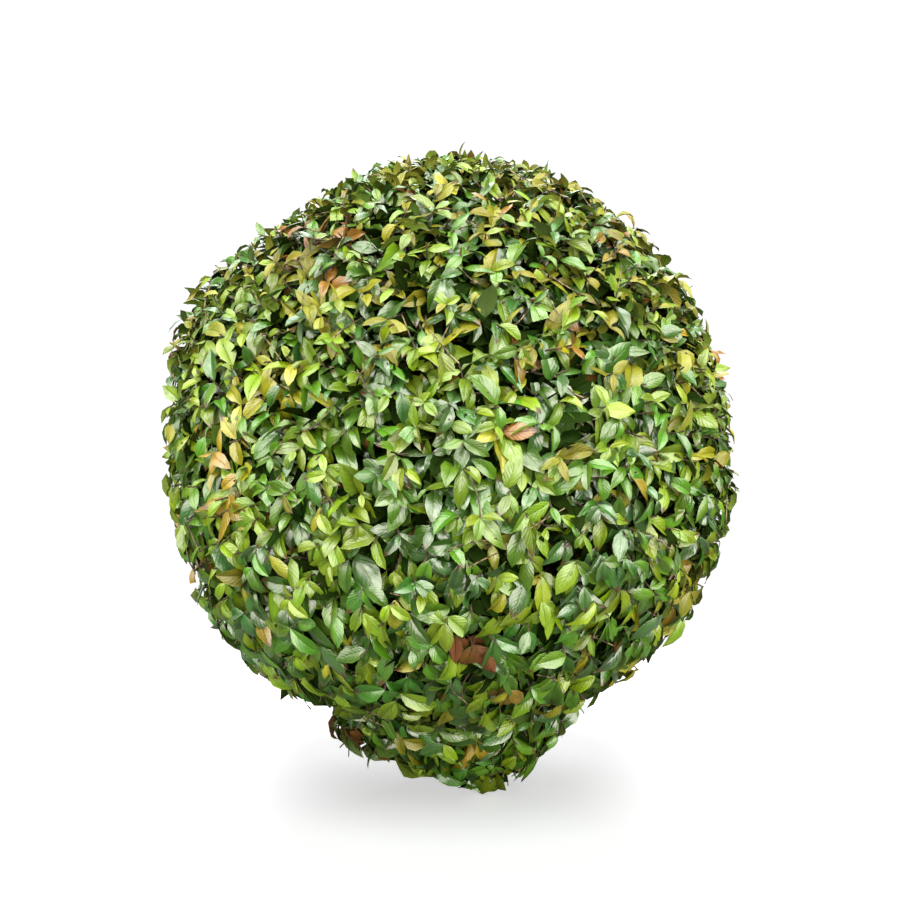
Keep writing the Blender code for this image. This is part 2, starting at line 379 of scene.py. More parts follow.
@dataclass(frozen=True)
class TintRule:
    """Deals the tints out, shoot by shoot.

    The weights are for the top, the middle and the foot of a mass, and shoots between
    them mix the two nearest. stray_share is how many leaves wear a stray tint, and
    shade_share is how fast leaves take the near-black tint of painted shade with age.
    """

    ENDS_GAIN = 1.6  # how soon the weights of the top or the foot hold alone
    SHADE_AGE = 0.45
    AGEING = 0.80
    TWICE_OLDER_AGE = 0.6
    RENEWAL = 0.09
    STRAYS = (Tint.GOLD, Tint.AMBER, Tint.LIME, Tint.OLIVE, Tint.TEAL, Tint.TEAL)

    top: dict[Tint, float]
    middle: dict[Tint, float]
    foot: dict[Tint, float]
    patches: tuple[TintPatch, ...]
    stray_share: float
    shade_share: float

    def shoot_tint(self, direction: Vector, chance: random.Random) -> Tint:
        """Draws the tint of a shoot.

        Args:
            direction: the direction that it stands in.
            chance: where draws come from.

        Returns:
            The tint.
        """
        for patch in self.patches:
            if chance.random() < patch.share * patch.strength(direction):
                return patch.tint
        end = self.top if direction.z > 0 else self.foot
        towards = min(1.0, self.ENDS_GAIN * direction.z**2)
        tints = list(self.middle)
        shares = [self.middle[t] * (1 - towards) + end[t] * towards for t in tints]
        return chance.choices(tints, shares)[0]

    def leaf_tint(self, shoot: Tint, age: float, chance: random.Random) -> Tint:
        """Draws the tint of one leaf.

        Args:
            shoot: the shoot's tint.
            age: from 0 at the shoot's tip to 1 deep inside.
            chance: where draws come from.

        Returns:
            The tint.
        """
        # Painted shade: leaves deep inside, and more of them with age, take the near-black tint.
        if age >= 1 or chance.random() < (age - self.SHADE_AGE) * self.shade_share:
            return Tint.SHADE
        if chance.random() < self.stray_share:
            return chance.choice(self.STRAYS)
        # Older leaves are darker, which is real ageing; past TWICE_OLDER_AGE they turn two steps
        # darker, which is partly painted shade behind the outer leaves.
        if chance.random() < age * self.AGEING:
            older = OLDER.get(shoot, shoot)
            return OLDER.get(older, older) if age > self.TWICE_OLDER_AGE else older
        if chance.random() < (1 - age) * self.RENEWAL:
            return YOUNGER.get(shoot, shoot)
        return shoot


def weights(*shares: float) -> dict[Tint, float]:
    """Weights for the living tints in order, from copper to olive."""
    return dict(zip(Tint, shares))


CROWN_TINTS = TintRule(
    top=weights(0.02, 0.04, 0.04, 0.07, 0.17, 0.19, 0.05, 0.06, 0.36),
    middle=weights(0.01, 0.01, 0.03, 0.18, 0.26, 0.24, 0.13, 0.10, 0.04),
    foot=weights(0.00, 0.00, 0.02, 0.15, 0.28, 0.26, 0.11, 0.13, 0.05),
    patches=(
        TintPatch(-62, 31, spread=7, tint=Tint.COPPER, share=0.40),
        TintPatch(-131, 50, spread=7, tint=Tint.COPPER, share=0.38),
        TintPatch(-139, 5, spread=7, tint=Tint.AMBER, share=0.45),
        TintPatch(-133, 24, spread=7, tint=Tint.GOLD, share=0.50),
        # Teal on the right and fresher greens on the left are partly real patches of tint and
        # partly painted light: a greyer painted reflection on the right and a livelier, brighter
        # left.
        TintPatch(-42, 8, spread=30, tint=Tint.TEAL, share=0.14),
        TintPatch(-120, 8, spread=32, tint=Tint.GREEN, share=0.15),
        TintPatch(-130, 5, spread=26, tint=Tint.LIME, share=0.18),
        TintPatch(-85, -23, spread=4, tint=Tint.DRY, share=0.90),
        TintPatch(-89, -18, spread=12, tint=Tint.DEEP, share=0.60),
        TintPatch(-25, -40, spread=15, tint=Tint.OLIVE, share=0.65),
        TintPatch(150, 20, spread=12, tint=Tint.AMBER, share=0.35),
        TintPatch(60, 35, spread=10, tint=Tint.COPPER, share=0.45),
    ),
    stray_share=0.025,
    shade_share=1.2,
)

SKIRT_TINTS = TintRule(
    top=weights(0.00, 0.01, 0.02, 0.10, 0.20, 0.30, 0.22, 0.10, 0.05),
    middle=weights(0.00, 0.01, 0.02, 0.10, 0.20, 0.30, 0.22, 0.10, 0.05),
    foot=weights(0.00, 0.01, 0.03, 0.12, 0.22, 0.28, 0.20, 0.10, 0.04),
    patches=(
        # The dark left wing of the skirt, under the crown: dry leaves, and dark green leaves that
        # are partly painted shade.
        TintPatch(180, -20, spread=26, tint=Tint.DRY, share=0.12),
        TintPatch(180, -20, spread=40, tint=Tint.DEEP, share=0.95),
        TintPatch(-70, -62, spread=9, tint=Tint.GOLD, share=0.50),
    ),
    stray_share=0.02,
    # More near-black painted shade than in the crown, under which the skirt sits.
    shade_share=1.6,
)


# ---------------------------------------------------------------- materials


class Nodes:
    """Adds nodes to a tree from left to right and joins their sockets."""

    STEP = 180

    def __init__(self, tree: bpy.types.NodeTree) -> None:
        """Starts on a tree."""
        self.tree = tree

    def add(self, kind: str, **settings: object) -> bpy.types.Node:
        """Adds a node.

        Args:
            kind: its kind.
            settings: its settings, by name.

        Returns:
            The node.
        """
        node = self.tree.nodes.new(kind)
        for name, value in settings.items():
            setattr(node, name, value)
        node.location = (self.STEP * len(self.tree.nodes), 0)
        return node

    def feed(self, node: bpy.types.Node, **values: Feed) -> Outputs:
        """Sets a node's inputs, by a value or by the socket that drives each.

        Args:
            node: the node.
            values: each input's value, by its name with underscores for spaces, or by
                i and its number.

        Returns:
            The node's outputs.
        """
        for name, value in values.items():
            key = int(name[1:]) if name[1:].isdigit() else name.replace("_", " ")
            if isinstance(value, Socket):
                self.tree.links.new(value, node.inputs[key])
            else:
                node.inputs[key].default_value = value
        return node.outputs

    def math(self, operation: str, *values: Feed, kind: str = "ShaderNodeMath") -> Socket:
        """The result of a Math node, or of one like it, on numbers or sockets."""
        inputs = {f"i{number}": value for number, value in enumerate(values)}
        return self.feed(self.add(kind, operation=operation), **inputs)[0]

    def vector(self, operation: str, *values: Feed) -> Socket:
        """The vector that a Vector Math node makes of vectors or sockets."""
        return self.math(operation, *values, kind="ShaderNodeVectorMath")

    def plus(self, first: Feed, second: Feed) -> Socket:
        """The sum of two values."""
        return self.math("ADD", first, second)

    def minus(self, first: Feed, second: Feed) -> Socket:
        """The first value less the second."""
        return self.math("SUBTRACT", first, second)

    def times(self, first: Feed, second: Feed) -> Socket:
        """The product of two values."""
        return self.math("MULTIPLY", first, second)

    def ramp(self, value: Feed, low: Feed, high: Feed, smooth: bool = True) -> Socket:
        """A step of a value from 0 at low to 1 at high."""
        kind = "SMOOTHSTEP" if smooth else "LINEAR"
        node = self.add("ShaderNodeMapRange", interpolation_type=kind)
        return self.feed(node, Value=value, From_Min=low, From_Max=high)["Result"]

    def mix(self, share: Feed, first: Feed, second: Feed) -> Socket:
        """A mix of two colours."""
        node = self.add("ShaderNodeMix", data_type="RGBA")
        return self.feed(node, i0=share, i6=first, i7=second)[2]

    def noise(self, place: Socket, scale: float, detail: float = 2) -> Socket:
        """The value of a noise texture."""
        node = self.add("ShaderNodeTexNoise")
        return self.feed(node, Vector=place, Scale=scale, Detail=detail)[0]

    def bump(self, height: Socket, strength: float, distance: float) -> Socket:
        """The normal of a surface that a height raises by up to a distance."""
        node = self.add("ShaderNodeBump")
        return self.feed(node, Height=height, Strength=strength, Distance=distance)["Normal"]

    def group(self, tree: bpy.types.NodeTree, **values: Feed) -> Outputs:
        """The outputs of a node group that is placed with its own values."""
        return self.feed(self.add("ShaderNodeGroup", node_tree=tree), **values)


def new_material(name: str) -> tuple[bpy.types.Material, Nodes, bpy.types.Node]:
    """Starts a material with a Principled shader.

    Args:
        name: its name.

    Returns:
        The material, its nodes and the shader.
    """
    material = bpy.data.materials.new(name)
    material.use_nodes = True
    return material, Nodes(material.node_tree), material.node_tree.nodes["Principled BSDF"]


class Pattern:
    """A pattern that several materials wear: a node group, built once.

    INPUTS gives each input's socket type and default. What a pattern paints comes out
    as a colour, a roughness and a height.
    """

    COLOUR, NUMBER, VECTOR = "NodeSocketColor", "NodeSocketFloat", "NodeSocketVector"
    OUTPUTS = {"Colour": COLOUR, "Roughness": NUMBER, "Height": NUMBER}
    NAME = ""
    INPUTS: dict[str, tuple[str, object]] = {}

    def __init__(self) -> None:
        """Builds the group."""
        self.tree = bpy.data.node_groups.new(self.NAME, "ShaderNodeTree")
        for label, (kind, default) in self.INPUTS.items():
            socket = self.tree.interface.new_socket(label, in_out="INPUT", socket_type=kind)
            if default is not None:
                socket.default_value = default
        for label, kind in self.OUTPUTS.items():
            self.tree.interface.new_socket(label, in_out="OUTPUT", socket_type=kind)
        nodes = Nodes(self.tree)
        given, result = nodes.add("NodeGroupInput").outputs, nodes.add("NodeGroupOutput")
        nodes.feed(result, **dict(zip(self.OUTPUTS, self.paint(nodes, given))))

    def paint(self, nodes: Nodes, given: Outputs) -> tuple[Socket, ...]:
        """Paints the pattern, each in its own way.

        Args:
            nodes: the group's nodes.
            given: the sockets that bring its inputs in.

        Returns:
            Its colour, roughness and height.
        """
        raise NotImplementedError


class LeafBlade(Pattern):
    """The pattern on a leaf: a pale rib, side veins, quilting, flecks, browned tips, painted sheen
    patches and a painted glow at its rim.

    It reads the leaf map, in which prints lie side by side. Each print runs from 0 at
    the leaf's foot to 1 at its tip, and from 0 to 1 across with the rib at the middle,
    and has its own shade and its own flecks. A noise is its scale and its detail, and a
    band is where a step of it starts and ends.
    """

    NAME = "leaf blade"
    INPUTS = {
        "Leaf Map": (Pattern.VECTOR, None),
        "Blade": (Pattern.COLOUR, (0.1, 0.2, 0.02, 1.0)),
        "Rib": (Pattern.COLOUR, (0.3, 0.4, 0.1, 1.0)),
        # the colour of the painted sheen
        "Bloom": (Pattern.COLOUR, (0.3, 0.4, 0.2, 1.0)),
        "Rib Width": (Pattern.NUMBER, 0.07),
        "Roughness": (Pattern.NUMBER, 0.35),
        "Spread": (Pattern.NUMBER, 0.9),
    }
    EDGE = 2.1  # from the rib to the rim, in halves of a print
    VEINS = 8.0  # side veins on each half
    VEIN_SLANT = 2.4  # how far they sweep towards the tip
    VEIN_WIDTH = 0.12
    VEIN_BAND = (0.5, 0.95)  # where they fade towards the rim
    # where the painted glow at the rim starts and ends
    RIM_BAND = (0.80, 0.97)
    VEIN_SHARE, RIM_SHARE, RIB_SHARE = 0.34, 0.40, 0.75  # how much each is the rib's colour
    MOTTLE_NOISE = (2.6, 4.0)
    FLECK_NOISE, FLECK_BAND, FLECK_SHARE = (9.0, 2.0), (0.66, 0.72), 0.5
    # The painted sheen: pale patches that stand in for light mirrored by the wax.
    BLOOM_NOISE, BLOOM_BAND, BLOOM_SHARE = (1.7, 2.0), (0.42, 0.66), 0.80
    TIRED_BAND = (0.86, 0.88)  # the draws from which a leaf's tip is brown
    BROWN_BAND = (0.98, 1.12)
    BROWN = (0.050, 0.022, 0.006, 1.0)
    HUES = (0.480, 0.044)  # the least hue, and how far it varies
    VALUES = (0.46, 1.1)  # the least brightness, and how far the mottling lifts it

    def paint(self, nodes: Nodes, given: Outputs) -> tuple[Socket, ...]:
        """Paints a blade over each print.

        Args:
            nodes: the group's nodes.
            given: the sockets that bring its inputs in.

        Returns:
            Its colour, roughness and height.
        """
        sheet = nodes.vector("MULTIPLY", given["Leaf Map"], (PRINTS, PRINTS, 0.0))
        white = nodes.add("ShaderNodeTexWhiteNoise", noise_dimensions="2D")
        drawn = nodes.feed(white, Vector=nodes.vector("FLOOR", sheet))["Color"]
        dice = nodes.feed(nodes.add("ShaderNodeSeparateColor"), Color=drawn)
        place = nodes.vector("FRACTION", sheet)
        place = nodes.feed(nodes.add("ShaderNodeSeparateXYZ"), Vector=place)
        along = nodes.ramp(place["X"], 0.0, 1.0, smooth=False)
        off_rib = nodes.times(nodes.math("ABSOLUTE", nodes.minus(place["Y"], 0.5)), self.EDGE)

        rib = nodes.minus(1.0, nodes.ramp(off_rib, 0.0, given["Rib Width"]))
        # Painted light: a paler rim that stands in for light shining through the thin edge.
        rim = nodes.ramp(off_rib, *self.RIM_BAND)
        swept = nodes.times(off_rib, self.VEIN_SLANT)
        slanted = nodes.minus(nodes.times(along, self.VEINS), swept)
        to_vein = nodes.math("ABSOLUTE", nodes.minus(nodes.math("FRACT", slanted), 0.5))
        vein = nodes.minus(1.0, nodes.ramp(to_vein, 0.0, self.VEIN_WIDTH))
        vein = nodes.times(vein, nodes.minus(1.0, nodes.ramp(off_rib, *self.VEIN_BAND)))

        mottle = nodes.noise(sheet, *self.MOTTLE_NOISE)
        flecks = nodes.ramp(nodes.noise(sheet, *self.FLECK_NOISE), *self.FLECK_BAND)
        flecks = nodes.times(flecks, nodes.times(dice["Blue"], self.FLECK_SHARE))
        # Painted sheen: pale patches mixed into the colour where the wax would mirror the light.
        bloom = nodes.ramp(nodes.noise(sheet, *self.BLOOM_NOISE), *self.BLOOM_BAND)
        waxed = nodes.times(nodes.plus(dice["Green"], 0.15), self.BLOOM_SHARE)
        tired = nodes.ramp(dice["Blue"], *self.TIRED_BAND)
        brown = nodes.ramp(nodes.plus(along, nodes.times(mottle, 0.5)), *self.BROWN_BAND)

        spread = nodes.times(nodes.minus(dice["Red"], 0.5), given["Spread"])
        value = nodes.plus(nodes.times(mottle, self.VALUES[1]), self.VALUES[0])
        value = nodes.plus(value, spread)
        hue = nodes.plus(self.HUES[0], nodes.times(dice["Green"], self.HUES[1]))
        shade = nodes.add("ShaderNodeHueSaturation")
        colour = nodes.feed(shade, Hue=hue, Value=value, Color=given["Blade"])["Color"]
        for share, layer in (
            (nodes.times(bloom, waxed), given["Bloom"]),
            (nodes.times(vein, self.VEIN_SHARE), given["Rib"]),
            (nodes.times(rim, self.RIM_SHARE), given["Rib"]),
            (nodes.times(rib, self.RIB_SHARE), given["Rib"]),
            (flecks, given["Rib"]),
            (nodes.times(tired, brown), self.BROWN),
        ):
            colour = nodes.mix(share, colour, layer)

        rough = nodes.plus(given["Roughness"], nodes.times(mottle, 0.16))
        rough = nodes.plus(rough, nodes.times(rib, 0.10))
        quilt = nodes.minus(nodes.times(to_vein, 0.7), nodes.times(rib, 0.8))
        return colour, rough, nodes.plus(quilt, nodes.times(mottle, 1.2))


class BarkGrain(Pattern):
    """The pattern of bark: stretched fissures and grey weathering.

    A noise is its scale and its detail, and a band is where a step of it starts and ends.
    """

    NAME = "bark grain"
    INPUTS = {
        "Ridges": (Pattern.COLOUR, (0.12, 0.08, 0.05, 1.0)),
        "Fissure": (Pattern.COLOUR, (0.03, 0.02, 0.012, 1.0)),
        "Weathering": (Pattern.COLOUR, (0.25, 0.23, 0.19, 1.0)),
        "Scale": (Pattern.NUMBER, 60.0),
    }
    STRETCH = (1.0, 1.0, 0.22)
    RIDGE_BAND = (0.0, 0.22)
    FINE_NOISE = (420.0, 3.0)
    WORN_NOISE, WORN_BAND, WORN_SHARE = (22.0, 4.0), (0.48, 0.66), 0.6

    def paint(self, nodes: Nodes, given: Outputs) -> tuple[Socket, ...]:
        """Paints fissures that run up the stem.

        Args:
            nodes: the group's nodes.
            given: the sockets that bring its inputs in.

        Returns:
            Its colour, roughness and height.
        """
        place = nodes.add("ShaderNodeTexCoord").outputs["Object"]
        mapping = nodes.add("ShaderNodeMapping")
        stretched = nodes.feed(mapping, Vector=place, Scale=self.STRETCH)["Vector"]
        cells = nodes.add("ShaderNodeTexVoronoi", feature="DISTANCE_TO_EDGE")
        cells = nodes.feed(cells, Vector=stretched, Scale=given["Scale"])
        ridge = nodes.ramp(cells["Distance"], *self.RIDGE_BAND)
        fine = nodes.noise(place, *self.FINE_NOISE)
        colour = nodes.mix(ridge, given["Fissure"], given["Ridges"])
        worn = nodes.ramp(nodes.noise(place, *self.WORN_NOISE), *self.WORN_BAND)
        worn = nodes.times(nodes.times(worn, ridge), self.WORN_SHARE)
        colour = nodes.mix(worn, colour, given["Weathering"])
        rough = nodes.minus(0.95, nodes.times(fine, 0.2))
        return colour, rough, nodes.plus(ridge, nodes.times(fine, 0.35))


@dataclass
class Finishes:
    """Makes each material once and hands it out.

    A relief is a bump's strength and its distance in metres.
    """

    WAX_ROUGHNESS = 0.18
    UNDERSIDE_ROUGHNESS = 0.2  # what it adds to the blade's
    LEAF_RELIEF = (0.70, 0.0011)
    BARK_RELIEF = (0.6, 0.0015)

    blade: LeafBlade = field(default_factory=LeafBlade)
    grain: BarkGrain = field(default_factory=BarkGrain)
    made: dict[Enum, bpy.types.Material] = field(default_factory=dict)

    def of(self, kind: Tint | Wood) -> bpy.types.Material:
        """The material of one kind of leaf or bark."""
        if kind not in self.made:
            self.made[kind] = self.leaf(kind) if isinstance(kind, Tint) else self.bark(kind)
        return self.made[kind]

    def leaf(self, tint: Tint) -> bpy.types.Material:
        """Makes the material of a leaf, with its paler and duller underside.

        Args:
            tint: the kind of leaf.

        Returns:
            The material.
        """
        finish = LEAF_FINISHES[tint]
        material, nodes, shader = new_material(f"leaf {tint.value}")
        blade = nodes.group(
            self.blade.tree,
            Leaf_Map=nodes.add("ShaderNodeUVMap", uv_map=LEAF_MAP).outputs["UV"],
            Blade=finish.blade,
            Rib=finish.rib,
            # the painted sheen's colour
            Bloom=finish.bloom,
            Roughness=finish.roughness,
        )
        back = nodes.add("ShaderNodeNewGeometry").outputs["Backfacing"]
        nodes.feed(
            shader,
            Base_Color=nodes.mix(back, blade["Colour"], finish.underside),
            Roughness=nodes.plus(
                blade["Roughness"], nodes.times(back, self.UNDERSIDE_ROUGHNESS)
            ),
            Normal=nodes.bump(blade["Height"], *self.LEAF_RELIEF),
            Specular_IOR_Level=finish.gloss,
            Coat_Weight=finish.coat,
            Coat_Roughness=self.WAX_ROUGHNESS,
        )
        return material

    def bark(self, wood: Wood) -> bpy.types.Material:
        """Makes the material of a bark.

        Args:
            wood: the kind of bark.

        Returns:
            The material.
        """
        finish = BARK_FINISHES[wood]
        material, nodes, shader = new_material(f"bark {wood.value}")
        grain = nodes.group(
            self.grain.tree,
            Ridges=finish.ridges,
            Weathering=finish.weathering,
            Scale=finish.scale,
        )
        relief = nodes.bump(grain["Height"], *self.BARK_RELIEF)
        nodes.feed(shader, Base_Color=grain["Colour"], Roughness=grain["Roughness"], Normal=relief)
        return material


# ---------------------------------------------------------------- leaves


@dataclass(frozen=True)
class LeafForm:
    """The shape of a leaf a unit long: an ellipse with a drawn-out tip.

    width is the whole blade's, fold is how far each half turns up from the rib, curl is
    how strongly it turns down again towards its rim, arch is how far the blade bends
    down from foot to tip, twist is how far the tip turns about the rib, and wave is the
    height of the rim's ripple. cut is the share of the blade that the shears left, and
    cells is how many corners it has along and across. Angles are in radians.
    """

    FOOT_LEAN = 0.88  # under 1, the blade is widest nearer its foot
    FULLNESS = 0.74  # under 1, it stays wide towards its ends
    TIP_LOSS = 0.60  # the share of its width that the tip is drawn in by
    TIP_LATENESS = 7
    NECK = (0.01, 0.10)  # where the blade widens from its stalk
    STALK_WIDTH = 0.05  # as a share of the blade's
    STALK_END = 0.16
    TOUCH = 1e-4  # how near the rib or an end a corner counts as on it

    width: float
    fold: float
    curl: float
    arch: float
    twist: float
    wave: float
    cut: float = 1.0
    cells: tuple[int, int] = (7, 4)

    def half_width(self, along: float) -> float:
        """Half the blade's width.

        Args:
            along: the place on its length, from 0 at its foot to 1 at its tip.

        Returns:
            The width, as a share of the length.
        """
        full = math.sin(math.pi * along**self.FOOT_LEAN) if 0 < along < 1 else 0.0
        drawn = 1 - self.TIP_LOSS * along**self.TIP_LATENESS
        stalk = self.STALK_WIDTH * (1 - smooth_step(0.0, self.STALK_END, along))
        blade = full**self.FULLNESS * drawn * smooth_step(*self.NECK, along)
        return self.width / 2 * (blade + stalk)

    def place(self, along: float, across: float) -> Vector:
        """Where a point of the flat map lies on the bent blade.

        Args:
            along: from 0 at the foot to 1 at the tip.
            across: from -1 to 1, with the rib at 0.

        Returns:
            The point.
        """
        side = across * self.half_width(along)
        lift = abs(side) * (math.tan(self.fold) - self.curl * abs(across))
        lift += self.wave * abs(across) * math.sin(2 * math.pi * (2 * along + 0.2 * across))
        turn = self.twist * along
        level = side * math.cos(turn) - lift * math.sin(turn)
        raised = side * math.sin(turn) + lift * math.cos(turn)
        bend, radius = self.arch * along, 1 / self.arch
        spine = Vector((math.sin(bend) * radius, level, (math.cos(bend) - 1) * radius))
        return spine + Vector((math.sin(bend), 0, math.cos(bend))) * raised

    def shape(self) -> bmesh.types.BMesh:
        """The blade as a bent grid, crisp along its rib, with its map.

        Returns:
            The blade, in triangles.
        """
        blade = bmesh.new()
        layer = blade.loops.layers.uv.new(LEAF_MAP)
        bmesh.ops.create_grid(blade, x_segments=self.cells[0], y_segments=self.cells[1], size=0.5)
        for corner in blade.verts:
            corner.co.x = self.cut * (0.5 - 0.5 * math.cos(math.pi * (corner.co.x + 0.5)))
            corner.co.y += 0.5
        for face in blade.faces:
            for loop in face.loops:
                loop[layer].uv = loop.vert.co.xy
        rib = [e for e in blade.edges if all(abs(v.co.y - 0.5) < self.TOUCH for v in e.verts)]
        bmesh.ops.split_edges(blade, edges=rib)
        ends = [v for v in blade.verts if min(v.co.x, 1 - v.co.x) < self.TOUCH]
        for corner in blade.verts:
            corner.co = self.place(corner.co.x, 2 * corner.co.y - 1)
        bmesh.ops.remove_doubles(blade, verts=ends, dist=1e-5)
        bmesh.ops.triangulate(blade, faces=blade.faces)
        return blade


@dataclass
class LeafArrays:
    """A leaf form as arrays, ready to be repeated."""

    corners: np.ndarray
    triangles: np.ndarray
    layout: np.ndarray

    @classmethod
    def of(cls, form: LeafForm) -> "LeafArrays":
        """Reads a form's shape.

        Args:
            form: the form.

        Returns:
            Its corners, its triangles and the map's point at each triangle's corner.
        """
        shape = form.shape()
        layer = shape.loops.layers.uv[LEAF_MAP]
        shape.verts.index_update()
        corners = [v.co[:] for v in shape.verts]
        triangles = [[v.index for v in face.verts] for face in shape.faces]
        layout = [loop[layer].uv[:] for face in shape.faces for loop in face.loops]
        shape.free()
        return cls(
            np.array(corners, dtype=np.float32),
            np.array(triangles, dtype=np.int32),
            np.array(layout, dtype=np.float32),
        )


@dataclass(frozen=True)
class LeafKinds:
    """The forms that leaves are drawn from, made by a seeded rule.

    cut_count of them were cut by the shears, and inner_count are plainer ones for the
    dark inside. Angles are in degrees.
    """

    count: int = 18
    cut_count: int = 2
    inner_count: int = 4
    seed: int = 5
    widths: tuple[float, float] = (0.38, 0.53)
    folds: tuple[float, float] = (12, 42)
    curls: tuple[float, float] = (0.20, 0.50)
    arches: tuple[float, float] = (20, 95)
    twists: tuple[float, float] = (-42, 42)
    waves: tuple[float, float] = (0.0, 0.018)
    cuts: tuple[float, float] = (0.55, 0.75)
    cells: tuple[int, int] = (6, 4)
    inner_cells: tuple[int, int] = (3, 2)

    def forms(self) -> list[LeafForm]:
        """Draws the forms, from flat and straight to folded and curled.

        Returns:
            The forms, the inner ones last.
        """
        chance = random.Random(self.seed)
        return [
            LeafForm(
                width=chance.uniform(*self.widths),
                fold=math.radians(chance.uniform(*self.folds)),
                curl=chance.uniform(*self.curls),
                arch=math.radians(chance.uniform(*self.arches)),
                twist=math.radians(chance.uniform(*self.twists)),
                wave=chance.uniform(*self.waves),
                cut=chance.uniform(*self.cuts) if number < self.cut_count else 1.0,
                cells=self.cells if number < self.count else self.inner_cells,
            )
            for number in range(self.count + self.inner_count)
        ]


@dataclass
class LeafStore:
    """Gathers leaves by tint and joins each tint into one mesh.

    A leaf is kept as the number of its form, the number of its print and its matrix.
    """

    PRINT_INSET = (0.03, 0.94)  # where a leaf's print starts in its square, and its size

    forms: list[LeafArrays]
    inner_count: int
    placed: dict[Tint, list[tuple[int, int, np.ndarray]]] = field(
        default_factory=lambda: defaultdict(list)
    )

    def add(self, tint: Tint, matrix: Matrix, chance: random.Random) -> None:
        """Adds one leaf, in a form and a print drawn by chance.

        Args:
            tint: its tint.
            matrix: its place, turn and size.
            chance: where draws come from.
        """
        outer = len(self.forms) - self.inner_count
        shaded = tint is Tint.SHADE
        form = outer + chance.randrange(self.inner_count) if shaded else chance.randrange(outer)
        leaf_print = chance.randrange(PRINTS * PRINTS)
        self.placed[tint].append((form, leaf_print, np.array(matrix, dtype=np.float32)))

    def mesh(self, tint: Tint, name: str) -> bpy.types.Mesh:
        """Joins all the leaves of one tint.

        Args:
            tint: the tint.
            name: the mesh's name.

        Returns:
            The mesh, with the leaves' shared map.
        """
        corners, triangles, layouts, first = [], [], [], 0
        for number, form in enumerate(self.forms):
            leaves = [leaf[1:] for leaf in self.placed[tint] if leaf[0] == number]
            if not leaves:
                continue
            prints = np.array([(p % PRINTS, p // PRINTS) for p, _ in leaves])
            matrices = np.stack([matrix for _, matrix in leaves])
            turned = np.einsum("kij,nj->kni", matrices[:, :3, :3], form.corners)
            turned += matrices[:, None, :3, 3]
            starts = first + len(form.corners) * np.arange(len(leaves))
            inset = self.PRINT_INSET[0] + self.PRINT_INSET[1] * form.layout
            corners.append(turned.reshape(-1, 3))
            triangles.append((form.triangles[None] + starts[:, None, None]).reshape(-1, 3))
            layouts.append(((prints[:, None] + inset[None]) / PRINTS).reshape(-1, 2))
            first += len(corners[-1])
        return mesh_of_arrays(name, *(np.concatenate(a) for a in (corners, triangles, layouts)))


def mesh_of_arrays(
    name: str, corners: np.ndarray, triangles: np.ndarray, layout: np.ndarray
) -> bpy.types.Mesh:
    """A smooth mesh of triangles with a map.

    Args:
        name: its name.
        corners: its corners, one a row.
        triangles: each triangle's three corners.
        layout: the map's point at each corner of each triangle.

    Returns:
        The mesh.
    """
    mesh = bpy.data.meshes.new(name)
    mesh.vertices.add(len(corners))
    mesh.vertices.foreach_set("co", corners.astype(np.float32).ravel())
    mesh.loops.add(triangles.size)
    mesh.loops.foreach_set("vertex_index", triangles.astype(np.int32).ravel())
    mesh.polygons.add(len(triangles))
    mesh.polygons.foreach_set("loop_start", np.arange(0, triangles.size, 3, dtype=np.int32))
    mesh.polygons.foreach_set("use_smooth", np.ones(len(triangles), dtype=bool))
    mesh.update(calc_edges=True)
    mesh.uv_layers.new(name=LEAF_MAP).data.foreach_set("uv", layout.astype(np.float32).ravel())
    return mesh


# ---------------------------------------------------------------- growth


@dataclass(frozen=True)
class Limb:
    """A tapering limb: the points along it and its radius at each."""

    BEND = 0.38  # how far its ends pull it their own way, as a share of its reach

    points: tuple[Vector, ...]
    radii: tuple[float, ...]

    @classmethod
    def bent(
        cls, foot: Vector, start: Vector, tip: Vector, end: Vector,
        radii: tuple[float, float], steps: int,
    ) -> "Limb":
        """A limb that leaves its foot in one direction and arrives at its tip in another.

        Args:
            foot: where it starts.
            start: the direction in which it leaves.
            tip: where it ends.
            end: the direction in which it arrives.
            radii: its radius at the foot and at the tip.
            steps: how many stretches it has.

        Returns:
            The limb.
        """
        reach = (tip - foot).length * cls.BEND
        first, second = foot + start.normalized() * reach, tip - end.normalized() * reach
        points, sizes = [], []
        for number in range(steps + 1):
            t = number / steps
            s = 1 - t
            points.append(foot * s**3 + first * 3 * s * s * t + second * 3 * s * t * t + tip * t**3)
            sizes.append(radii[0] * s + radii[1] * t)
        return cls(tuple(points), tuple(sizes))

    def point_back(self, distance: float) -> Vector:
        """The point at a distance back from the tip, along the limb's stretches.

        Args:
            distance: how far back.

        Returns:
            The point, or the limb's foot where the limb is shorter.
        """
        for end, start in zip(self.points[::-1], self.points[-2::-1]):
            stretch = (end - start).length
            if distance <= stretch:
                return end.lerp(start, distance / stretch)
            distance -= stretch
        return self.points[0]


@dataclass(frozen=True)
class ShootRule:
    """How the shoots of a mass grow.

    Depths are below the clipped surface, hang is how far the tips of shoots turn down
    and sag is how far their leaves do. nodes are the places on a shoot where its pairs
    of leaves stand, in metres back from its tip. bare_share of the shoots carry a bare
    twig end, and the leaves of proud_share of them may stand further out.
    """

    boughs: int
    bough_depth: float
    crowding: float
    shoots: int
    tip_depths: tuple[float, float]
    inner_shoots: int
    inner_depths: tuple[float, float]
    hang: float
    sag: float
    nodes: tuple[float, ...]
    inner_nodes: tuple[float, ...]
    leaf_length: float
    length_spread: float
    inner_length: float
    bare_share: float
    proud_share: float


